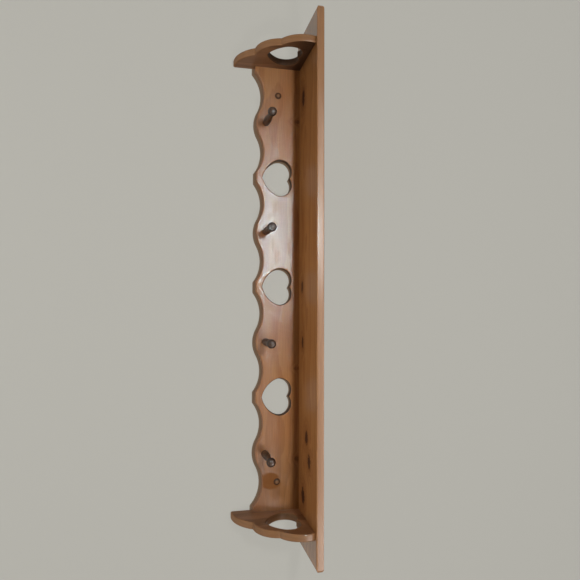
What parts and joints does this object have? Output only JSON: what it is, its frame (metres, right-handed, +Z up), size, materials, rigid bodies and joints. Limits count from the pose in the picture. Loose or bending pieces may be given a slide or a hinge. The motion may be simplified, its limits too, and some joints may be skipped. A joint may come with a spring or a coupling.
{
  "type": "wall plate rack",
  "caption": "Wall shelf with a plate groove, carried by a scalloped back board with heart cut-outs and by lobed end brackets, with turned pegs in a row below.",
  "frame": {"origin": "the centre of the shelf's back edge, on the wall plane", "axes": "+Z up, +X to the right seen from the front, +Y into the wall, so the front faces -Y"},
  "size_m": [0.9214, 0.163, 0.1337],
  "materials": {
    "varnished_pine": "satin varnish over a warm brown stain",
    "turned_wood": "gloss varnish over a dark brown stain",
    "plug_wood": "satin varnish over a warm brown stain",
    "dowel_wood": "bare wood",
    "screw_steel": "zinc plated"
  },
  "bodies": {
    "root": {"shelf_board": "varnished_pine", "back_board": "varnished_pine", "bracket_left": "varnished_pine", "bracket_right": "varnished_pine", "peg_1": "turned_wood", "peg_2": "turned_wood", "peg_3": "turned_wood", "peg_4": "turned_wood", "button_plug_left": "turned_wood", "button_plug_right": "turned_wood", "wall_screw_left": "screw_steel", "wall_screw_right": "screw_steel", "shelf_screw_1": "screw_steel", "shelf_screw_2": "screw_steel", "shelf_screw_3": "screw_steel", "shelf_screw_4": "screw_steel", "shelf_screw_5": "screw_steel", "shelf_screw_6": "screw_steel", "shelf_screw_7": "screw_steel", "shelf_screw_8": "screw_steel", "shelf_plug_1": "plug_wood", "shelf_plug_2": "plug_wood", "shelf_plug_3": "plug_wood", "shelf_plug_4": "plug_wood", "shelf_plug_5": "plug_wood", "shelf_plug_6": "plug_wood", "shelf_plug_7": "plug_wood", "shelf_plug_8": "plug_wood", "dowel_left_upper": "dowel_wood", "dowel_left_lower": "dowel_wood", "dowel_right_upper": "dowel_wood", "dowel_right_lower": "dowel_wood"}
  },
  "joints": []
}
